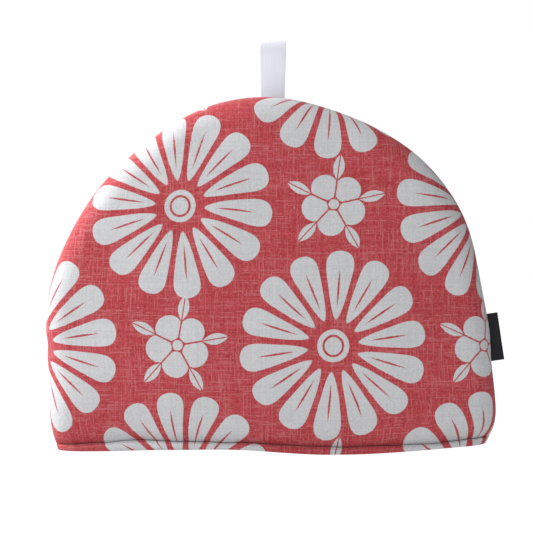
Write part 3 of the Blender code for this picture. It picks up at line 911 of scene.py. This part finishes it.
def printed_cotton(look):
    """Slubby plain weave with an off-white floral print on coral."""
    graph = material_graph("printed_cotton_cloth")
    x, y = graph.flat_place()
    wander = look.thread * THREAD_WANDER
    stray_x = (graph.noise(x * 22.0, y * 9.0, detail=1.0) - 0.5) * wander
    stray_y = (graph.noise(x * 9.0 + 7.0, y * 22.0, detail=1.0) - 0.5) * wander
    warp = (x + stray_x) / (look.thread * WARP_PITCH)
    weft = (y + stray_y) / (look.thread * WEFT_PITCH)
    warp_no = graph.math("FLOOR", warp)
    weft_no = graph.math("FLOOR", weft)
    warp_tone, warp_slub = uneven_thread(graph, warp_no, y, WARP_SEED)
    weft_tone, weft_slub = uneven_thread(graph, weft_no, x, WEFT_SEED)
    cloudy = graph.noise(x * 30.0, y * 30.0, detail=2.0)
    tone = (warp_tone + weft_tone - 1.0) * TONE_CONTRAST + (cloudy - 0.5) * CLOUDS + 0.5
    slub = graph.math("MINIMUM", warp_slub + weft_slub, 1.0)
    ground = graph.mix(graph.step(tone, 0.0, 1.0), look.coral_deep, look.coral)
    ground = graph.mix(slub * SLUB_PALENESS, ground, look.coral_slub)
    white = graph.mix(graph.step(tone, 0.0, 1.0), look.off_white_deep, look.off_white)
    frayed_x = x + (warp_tone - 0.5) * look.thread
    frayed_y = y + (weft_tone - 0.5) * look.thread
    mask = print_mask(graph, look, frayed_x, frayed_y)
    over_warp = graph.ribs(warp * pi)
    over_weft = graph.ribs(weft * pi)
    checker = graph.math("PINGPONG", warp_no + weft_no, 1.0)
    weave = over_warp * checker + over_weft * (1.0 - checker)
    graph.bump(weave * 0.5 + tone * 0.5 + slub * 0.8, distance=0.00016, strength=0.6)
    graph.surface({"Base Color": graph.mix(mask, ground, white), "Roughness": 0.90 - slub * 0.12})
    graph.surface({"Specular IOR Level": 0.30, "Sheen Weight": 0.22, "Sheen Roughness": 0.35})
    return graph.owner


def inside_cotton(look):
    """Plain even weave of the inner cloth."""
    graph = material_graph("inside_cotton_cloth")
    x, y = graph.flat_place()
    pitch = 0.00055
    warp = graph.math("FLOOR", x / pitch)
    weft = graph.math("FLOOR", y / pitch)
    tone = graph.noise(warp * 2.7, y * 60.0) * 0.5 + graph.noise(weft * 2.7 + 19.0, x * 60.0) * 0.5
    colour = graph.mix(graph.step(tone, 0.25, 0.75), toned(look.inside, 0.82), look.inside)
    weave = graph.ribs(x * (pi / pitch)) * graph.ribs(y * (pi / pitch))
    graph.bump(weave + tone, distance=0.00010, strength=0.5)
    graph.surface({"Base Color": colour, "Roughness": 0.82 + tone * 0.1})
    return graph.owner


def ribbon_satin(trims):
    """Smooth white ribbon with fine cross ribs and a firmer selvedge."""
    graph = material_graph("satin_ribbon")
    x, y = graph.flat_place()
    rib_pitch = 0.00045
    rib = graph.ribs(y * (pi / rib_pitch))
    streak = graph.noise(x * 2600.0, y * 30.0, detail=1.0)
    aside = graph.size_of(x)
    edge = trims.ribbon_width / 2
    selvedge = graph.step(aside, edge - 0.0021, edge - 0.0017)
    selvedge = selvedge * graph.step(aside, edge - 0.0006, edge - 0.0010)
    tone = graph.step(streak, 0.2, 0.8) * 0.7 + rib * 0.3
    shade = toned(trims.ribbon_colour, 0.88)
    colour = graph.mix(tone * (1.0 - selvedge * 0.45), shade, trims.ribbon_colour)
    graph.bump(rib * 0.4 + streak * 0.4 - selvedge * 0.6, distance=0.00006, strength=0.5)
    graph.surface({"Base Color": colour, "Roughness": 0.42 + streak * 0.16, "Sheen Weight": 0.10})
    graph.surface({"Subsurface Weight": 0.55, "Subsurface Radius": WHITE, "Subsurface Scale": 0.003})
    return graph.owner


def tab_tape(trims):
    """Black tape in a dense twill, slightly shiny."""
    graph = material_graph("woven_tab_tape")
    x, y = graph.flat_place()
    twill_pitch, rib_pitch = 0.00042, 0.0006
    twill = graph.ribs((x + y) * (pi / twill_pitch))
    rib = graph.ribs(y * (pi / rib_pitch))
    fleck = graph.noise(x * 1500.0, y * 420.0, detail=2.0)
    tone = graph.step(fleck * 0.6 + twill * 0.4, 0.35, 0.95)
    colour = graph.mix(tone, trims.tab_colour, toned(trims.tab_colour, 2.6))
    graph.bump(twill * 0.5 + rib * 0.2 + fleck * 0.5, distance=0.00010, strength=0.6)
    graph.surface({"Base Color": colour, "Roughness": 0.62 - fleck * 0.2})
    graph.surface({"Specular IOR Level": 0.25, "Sheen Weight": 0.03})
    return graph.owner


def floor_paper(name, colour, foot_shadow_glow, far_glow):
    """Matte floor, lit from below as a light table is, with a painted shadow: its glow is dimmer round the
    cosy's foot.
    """
    graph = material_graph(name)
    place = graph.node("ShaderNodeTexCoord", "Object", {})
    grain = graph.node("ShaderNodeTexNoise", 0, {"Vector": place, "Scale": 90.0, "Detail": 3.0})
    narrowed = graph.node("ShaderNodeVectorMath", 0, {0: place, 1: NARROWED}, operation="MULTIPLY")
    distance = graph.node("ShaderNodeVectorMath", "Value", {0: narrowed}, operation="LENGTH")
    graph.surface({
        "Base Color": graph.mix(grain, toned(colour, 0.985), colour),
        "Emission Color": WHITE,
        # painted shadow: the glow is dimmer round the cosy's foot
        "Emission Strength": foot_shadow_glow + graph.step(distance, GLOW_NEAR, GLOW_FAR) * (far_glow - foot_shadow_glow),
        "Roughness": 0.9,
        "Specular IOR Level": 0.0,
    })
    return graph.owner


def dark_board():
    """Matte black board."""
    graph = material_graph("dark_board_paint")
    place = graph.node("ShaderNodeTexCoord", "Object", {})
    grain = graph.node("ShaderNodeTexNoise", 0, {"Vector": place, "Scale": 60.0, "Detail": 2.0})
    deep, light = (0.015, 0.015, 0.015), (0.025, 0.025, 0.025)
    graph.surface({"Base Color": graph.mix(grain, deep, light), "Roughness": 0.95})
    return graph.owner


def studio_world(stage):
    """Bright walls all round under a dimmer ceiling."""
    graph = Graph(bpy.data.worlds.new("studio"), "Background")
    towards = graph.node("ShaderNodeTexCoord", "Generated", {})
    height = graph.node("ShaderNodeSeparateXYZ", "Z", {"Vector": towards})
    strength = stage.horizon + graph.step(height, WALL_TOP, CEILING) * (stage.overhead - stage.horizon)
    graph.surface({"Color": WHITE, "Strength": strength})
    return graph.owner


class COSY_OT_panels(bpy.types.Operator):
    """Make the two padded panels of printed cotton"""

    bl_idname = "cosy.panels"
    bl_label = "Padded panels"

    def execute(self, context):
        scene = context.scene
        dome = Dome(scene.cosy_sizes, scene.cosy_trims)
        materials = [printed_cotton(scene.cosy_print), inside_cotton(scene.cosy_print)]
        for side in SIDES:
            make_panel(dome, side, materials)
        return {"FINISHED"}


class COSY_OT_ribbon_loop(bpy.types.Operator):
    """Make the ribbon loop at the top"""

    bl_idname = "cosy.ribbon_loop"
    bl_label = "Ribbon loop"

    def execute(self, context):
        trims = context.scene.cosy_trims
        dome = Dome(context.scene.cosy_sizes, trims)
        line = [(DOME_CENTRE_X + RIBBON_CENTRE_X, y, z) for y, z in ribbon_line(dome, trims)]
        base = dome.height - TUCKED_IN
        top = dome.height + trims.ribbon_stands
        widths = [trims.ribbon_width / 2 + RIBBON_FLARE * (z - base) / (top - base) for _, _, z in line]
        loop = band(
            "hanging_loop_ribbon", line, widths, trims.ribbon_thickness, (1.0, 0.0, 0.0),
            RIBBON_ACROSS_STEPS, ribbon_satin(trims), RIBBON_CUP,
        )
        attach(loop, BODY)
        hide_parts("hanging_loop")
        flat = (2 * widths[0] + RIBBON_FLARE, length_of(line))
        return {"FINISHED"}


class COSY_OT_side_tab(bpy.types.Operator):
    """Make the folded tab in the side seam"""

    bl_idname = "cosy.side_tab"
    bl_label = "Side tab"

    def execute(self, context):
        trims = context.scene.cosy_trims
        dome = Dome(context.scene.cosy_sizes, trims)
        line, along = tab_line(dome, trims)
        width = trims.tab_high - trims.tab_low
        widths = [width / 2] * len(line)
        tab = band(
            "side_tab_tape", line, widths, trims.tab_thickness, along, TAB_ACROSS_STEPS, tab_tape(trims)
        )
        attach(tab, BODY)
        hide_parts("side_tab")
        return {"FINISHED"}


def add_light(name, place, size, power):
    """A square soft white light at a place, turned to the cosy."""
    data = bpy.data.lights.new(name, "AREA")
    data.shape = "SQUARE"
    data.size = size
    data.energy = power
    light = bpy.data.objects.new(name, data)
    light.location = place
    light.rotation_euler = (Vector(LIGHTS_AIM) - Vector(place)).to_track_quat("-Z", "Y").to_euler()
    light.visible_camera = False
    bpy.context.scene.collection.objects.link(light)


def add_sheet(name, corners, plan_points, material):
    """A flat square of the stage."""
    sheet = mesh_object(name, np.array(corners), [(0, 1, 2, 3)], plan_points, [material])
    return sheet


class COSY_OT_stage(bpy.types.Operator):
    """Make the floor, the lights and the camera"""

    bl_idname = "cosy.stage"
    bl_label = "Floor, lights and camera"

    def execute(self, context):
        stage = context.scene.cosy_stage
        self.add_floor(stage)
        for name, place, size, power in LIGHTS:
            add_light(name, place, size, getattr(stage, power))
        self.add_dark_board()
        context.scene.world = studio_world(stage)
        context.scene.view_settings.view_transform = "Standard"
        self.add_camera(context, stage)
        return {"FINISHED"}

    def add_floor(self, stage):
        """A white floor that the camera sees, over one that it doesn't see and that gives the light, with a
        painted shadow in its glow round the cosy's foot.
        """
        half = FLOOR_HALF
        ends = ((-half, -half), (half, -half), (half, half), (-half, half))
        corners = [(x, y, 0.0) for x, y in ends]
        seen_paper = floor_paper("floor_paper", stage.floor_colour, WHITE_GLOW, WHITE_GLOW)
        floor = add_sheet("floor", corners, ends, seen_paper)
        floor.location.z = SEEN_FLOOR_Z
        floor.visible_diffuse = False
        floor.visible_glossy = False
        # This floor's glow holds a painted shadow round the cosy's foot
        lit_paper = floor_paper("under_floor_paper", stage.floor_colour, stage.foot_shadow_glow, stage.floor_glow)
        under_floor = add_sheet("under_floor", corners, ends, lit_paper)
        under_floor.location.z = LIT_FLOOR_Z
        under_floor.visible_camera = False

    def add_dark_board(self):
        """A dark board at the right, out of the camera's sight, which keeps light off the right edge."""
        ends = ((BOARD_FRONT, 0.0), (BOARD_BACK, 0.0), (BOARD_BACK, BOARD_TOP), (BOARD_FRONT, BOARD_TOP))
        board = add_sheet("dark_board", [(BOARD_X, y, z) for y, z in ends], ends, dark_board())
        board.visible_camera = False

    def add_camera(self, context, stage):
        data = bpy.data.cameras.new("camera")
        data.lens = stage.lens
        data.sensor_width = 36.0
        camera = bpy.data.objects.new("camera", data)
        turn = stage.camera_azimuth
        right = Vector((cos(turn), sin(turn), 0.0))
        back = Vector((sin(turn), -cos(turn), 0.0))
        camera.location = back * stage.camera_distance + right * stage.camera_sidestep
        camera.location.z = stage.camera_height
        camera.rotation_euler = (pi / 2, 0.0, turn)
        context.scene.collection.objects.link(camera)
        context.scene.camera = camera


class COSY_PT_sidebar(bpy.types.Panel):
    """Sizes, colours and the steps that build the cosy"""

    bl_idname = "COSY_PT_sidebar"
    bl_label = "Tea Cosy"
    bl_space_type = "VIEW_3D"
    bl_region_type = "UI"
    bl_category = "Tea Cosy"

    def draw(self, context):
        for name in GROUPS:
            group = getattr(context.scene, name)
            box = self.layout.box()
            for prop in group.bl_rna.properties:
                if prop.identifier not in ("rna_type", "name"):
                    box.prop(group, prop.identifier)
        for operator in OPERATORS:
            self.layout.operator(operator.bl_idname)


OPERATORS = (COSY_OT_panels, COSY_OT_ribbon_loop, COSY_OT_side_tab, COSY_OT_stage)
GROUPS = {"cosy_sizes": CosySizes, "cosy_print": CosyPrint, "cosy_trims": CosyTrims, "cosy_stage": CosyStage}


def register():
    for cls in (*GROUPS.values(), *OPERATORS, COSY_PT_sidebar):
        bpy.utils.register_class(cls)
    for name, group in GROUPS.items():
        setattr(bpy.types.Scene, name, PointerProperty(type=group))


def unregister():
    for name in GROUPS:
        delattr(bpy.types.Scene, name)
    for cls in (COSY_PT_sidebar, *reversed(OPERATORS), *reversed(tuple(GROUPS.values()))):
        bpy.utils.unregister_class(cls)


def main():
    register()
    bpy.ops.cosy.panels()
    bpy.ops.cosy.ribbon_loop()
    bpy.ops.cosy.side_tab()
    bpy.ops.cosy.stage()


if __name__ == "__main__":
    main()
